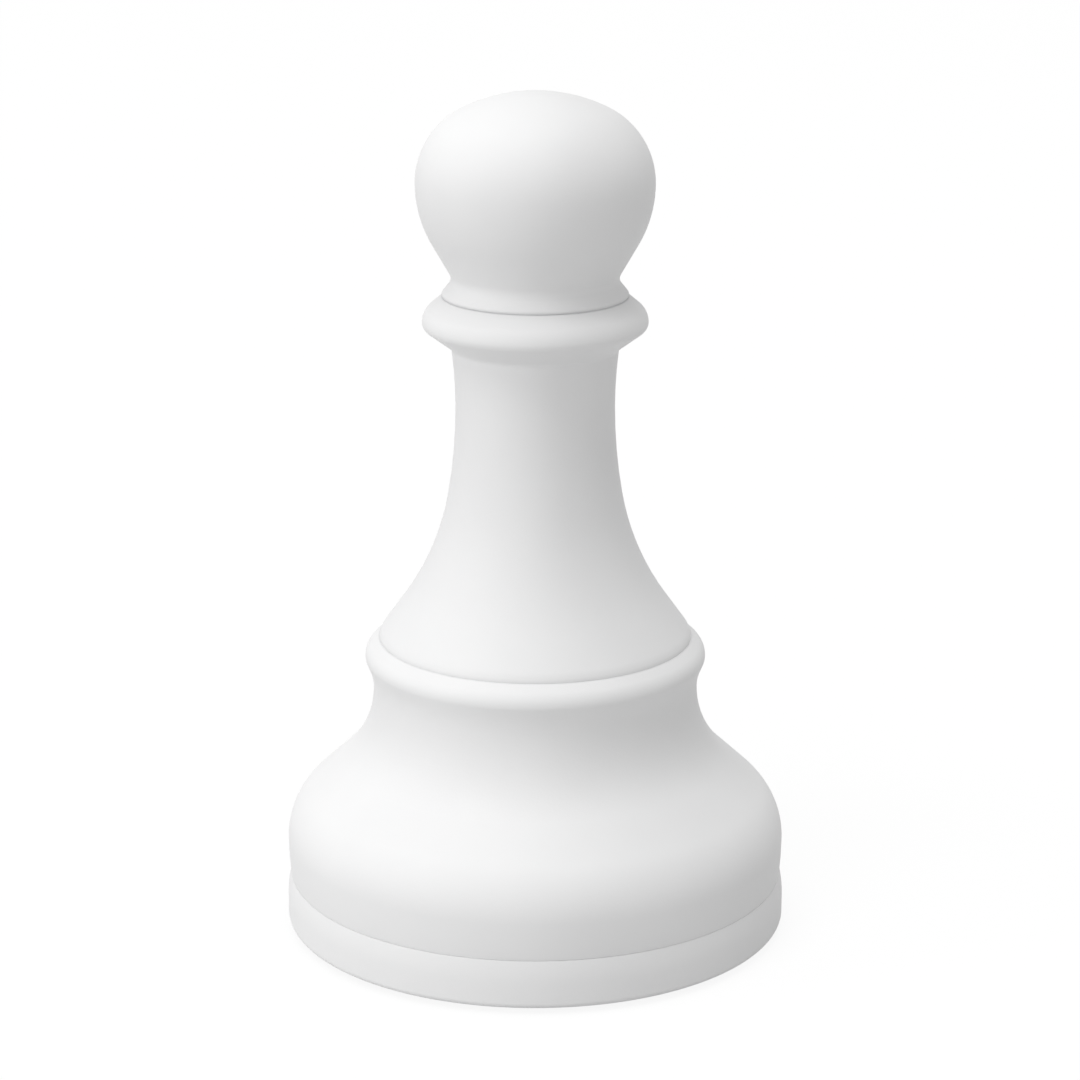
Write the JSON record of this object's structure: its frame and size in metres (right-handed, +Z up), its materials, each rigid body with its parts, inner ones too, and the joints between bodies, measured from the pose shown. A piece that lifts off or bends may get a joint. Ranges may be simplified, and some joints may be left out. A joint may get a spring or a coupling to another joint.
{
  "type": "chess pawn",
  "caption": "Chess pawn with a ball head on a flared neck ring, a collared stem that flares into a skirt, a wide weighted base and a felted foot.",
  "frame": {"origin": "centre of the felt's underside, where the pawn meets the board", "axes": "+Z up along the pawn's axis of revolution; the pawn looks the same from every side, and -Y is taken as its front"},
  "size_m": [0.0286, 0.0286, 0.048],
  "materials": {
    "moulded_plastic": "matte light grey-white plastic with a very fine moulded texture",
    "insert_brass": "turned",
    "ballast_steel": "dull, as cut",
    "packing_rubber": "matte",
    "screw_steel": "bright zinc plate",
    "felt": "short pressed wool felt"
  },
  "bodies": {
    "root": {"head": "moulded_plastic", "thread_insert": "insert_brass", "stem": "moulded_plastic", "base_shell": "moulded_plastic", "foot": "moulded_plastic", "weight_slug": "ballast_steel", "packing_ring": "packing_rubber", "tie_screw": "screw_steel", "felt_pad": "felt"}
  },
  "joints": []
}
